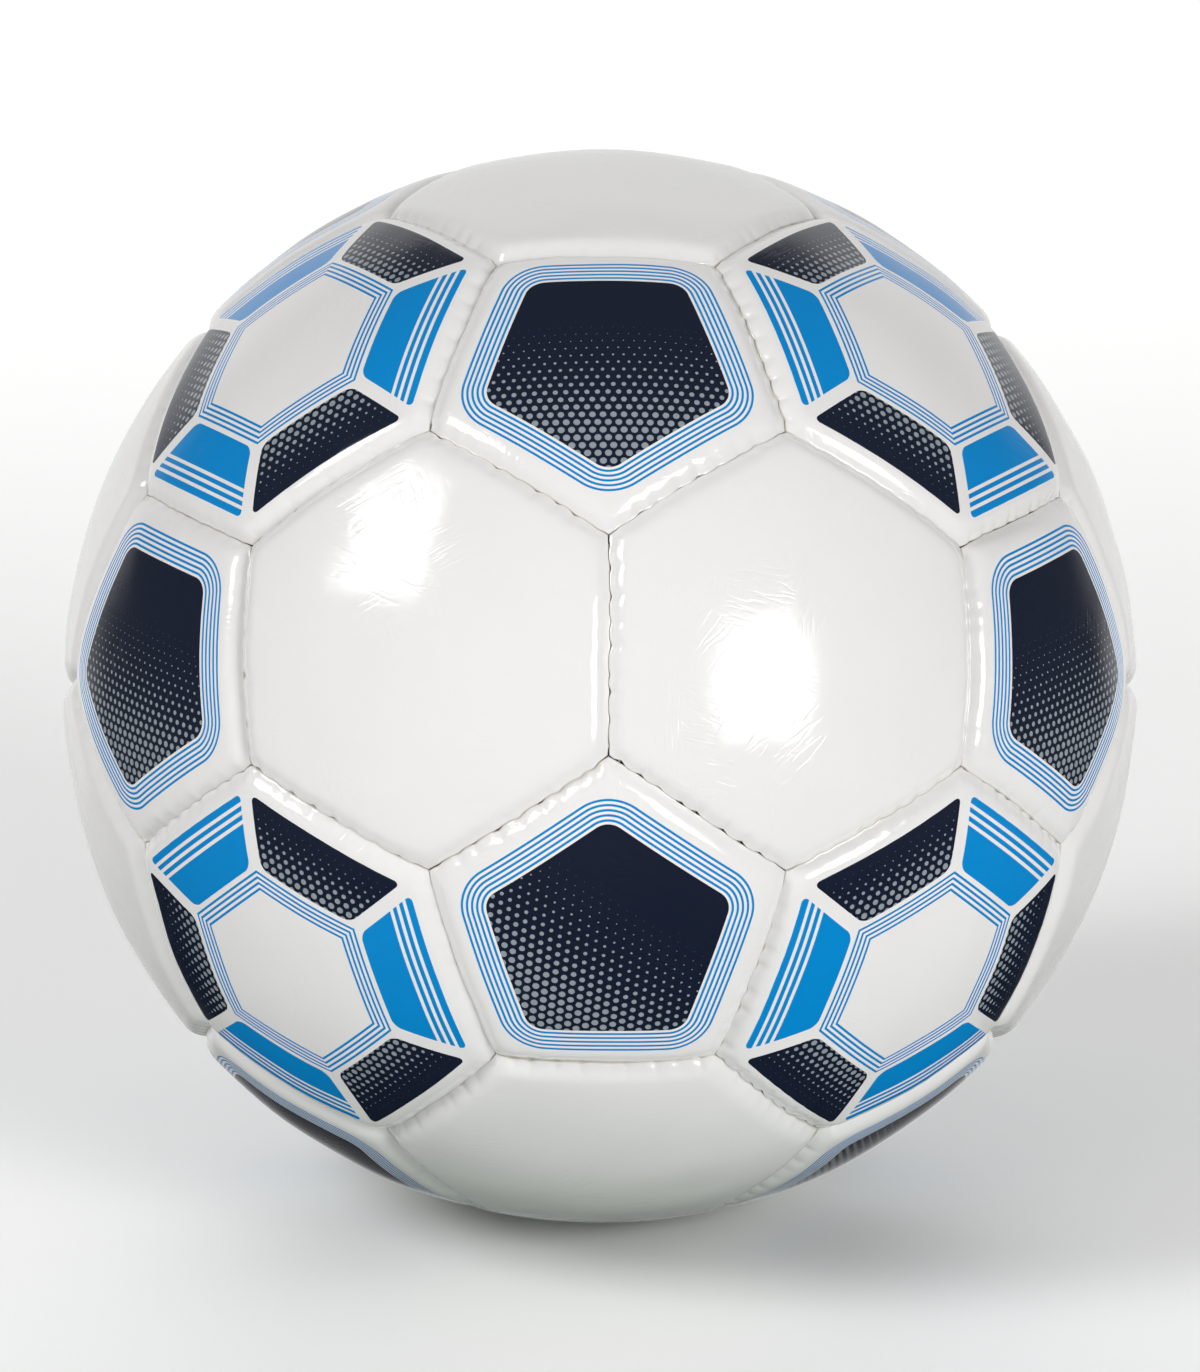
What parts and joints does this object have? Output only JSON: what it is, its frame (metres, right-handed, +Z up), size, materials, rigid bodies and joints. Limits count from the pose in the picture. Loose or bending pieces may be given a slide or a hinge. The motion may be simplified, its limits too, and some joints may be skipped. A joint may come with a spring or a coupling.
{
  "type": "sound ball",
  "caption": "Sewn ball for blind players: panelled cover over a bladder with a needle valve, and tin capsules under the panels whose pellets rattle as it rolls.",
  "frame": {"origin": "middle of the flat spot that the ball rests on, under its lowest hexagon", "axes": "+Z up through the ball's centre; -Y towards the side that the picture shows"},
  "size_m": [0.2096, 0.21, 0.2091],
  "materials": {
    "white_cover": "gloss",
    "printed_cover": "gloss",
    "bladder_rubber": "matte",
    "valve_rubber": "satin",
    "patch_fabric": "matte",
    "pocket_fabric": "matte",
    "tinplate": "satin",
    "pellet_steel": "polished"
  },
  "bodies": {
    "ball": {"bladder": "bladder_rubber", "capsule_can_1": "tinplate", "capsule_can_2": "tinplate", "capsule_can_3": "tinplate", "capsule_can_4": "tinplate", "capsule_can_5": "tinplate", "capsule_can_6": "tinplate", "capsule_lid_1": "tinplate", "capsule_lid_2": "tinplate", "capsule_lid_3": "tinplate", "capsule_lid_4": "tinplate", "capsule_lid_5": "tinplate", "capsule_lid_6": "tinplate", "capsule_pocket_1": "pocket_fabric", "capsule_pocket_2": "pocket_fabric", "capsule_pocket_3": "pocket_fabric", "capsule_pocket_4": "pocket_fabric", "capsule_pocket_5": "pocket_fabric", "capsule_pocket_6": "pocket_fabric", "hex_panel_01": "white_cover", "hex_panel_02": "white_cover", "hex_panel_03": "white_cover", "hex_panel_04": "white_cover", "hex_panel_05": "white_cover", "hex_panel_06": "white_cover", "hex_panel_07": "white_cover", "hex_panel_08": "white_cover", "hex_panel_09": "white_cover", "hex_panel_10": "white_cover", "hex_panel_11": "white_cover", "hex_panel_12": "white_cover", "hex_panel_13": "white_cover", "hex_panel_14": "white_cover", "hex_panel_15": "white_cover", "hex_panel_16": "white_cover", "hex_panel_17": "white_cover", "hex_panel_18": "white_cover", "hex_panel_19": "white_cover", "hex_panel_20": "white_cover", "pent_panel_01": "printed_cover", "pent_panel_02": "printed_cover", "pent_panel_03": "printed_cover", "pent_panel_04": "printed_cover", "pent_panel_05": "printed_cover", "pent_panel_06": "printed_cover", "pent_panel_07": "printed_cover", "pent_panel_08": "printed_cover", "pent_panel_09": "printed_cover", "pent_panel_10": "printed_cover", "pent_panel_11": "printed_cover", "pent_panel_12": "printed_cover", "valve_body": "valve_rubber", "valve_core": "valve_rubber", "valve_patch": "patch_fabric"},
    "pellet_1": {"capsule_pellet_1": "pellet_steel"},
    "pellet_2": {"capsule_pellet_2": "pellet_steel"},
    "pellet_3": {"capsule_pellet_3": "pellet_steel"},
    "pellet_4": {"capsule_pellet_4": "pellet_steel"},
    "pellet_5": {"capsule_pellet_5": "pellet_steel"},
    "pellet_6": {"capsule_pellet_6": "pellet_steel"}
  },
  "joints": [
    {"name": "pellet_1_roll", "type": "hinge", "parent": "ball", "child": "pellet_1", "pos_m": [-0.05509, -0.03181, 0.17567], "axis": [-0.5774, -0.3333, 0.7454], "continuous": true},
    {"name": "pellet_2_roll", "type": "hinge", "parent": "ball", "child": "pellet_2", "pos_m": [0.05509, -0.03181, 0.17567], "axis": [0.5774, -0.3333, 0.7454], "continuous": true},
    {"name": "pellet_3_roll", "type": "hinge", "parent": "ball", "child": "pellet_3", "pos_m": [-0.05509, 0.07112, 0.13636], "axis": [-0.5774, 0.7454, 0.3333], "continuous": true},
    {"name": "pellet_4_roll", "type": "hinge", "parent": "ball", "child": "pellet_4", "pos_m": [0.05509, -0.07112, 0.07274], "axis": [0.5774, -0.7454, -0.3333], "continuous": true},
    {"name": "pellet_5_roll", "type": "hinge", "parent": "ball", "child": "pellet_5", "pos_m": [0.05509, 0.03181, 0.03343], "axis": [0.5774, 0.3333, -0.7454], "continuous": true},
    {"name": "pellet_6_roll", "type": "hinge", "parent": "ball", "child": "pellet_6", "pos_m": [-0.05509, 0.03181, 0.03343], "axis": [-0.5774, 0.3333, -0.7454], "continuous": true}
  ]
}
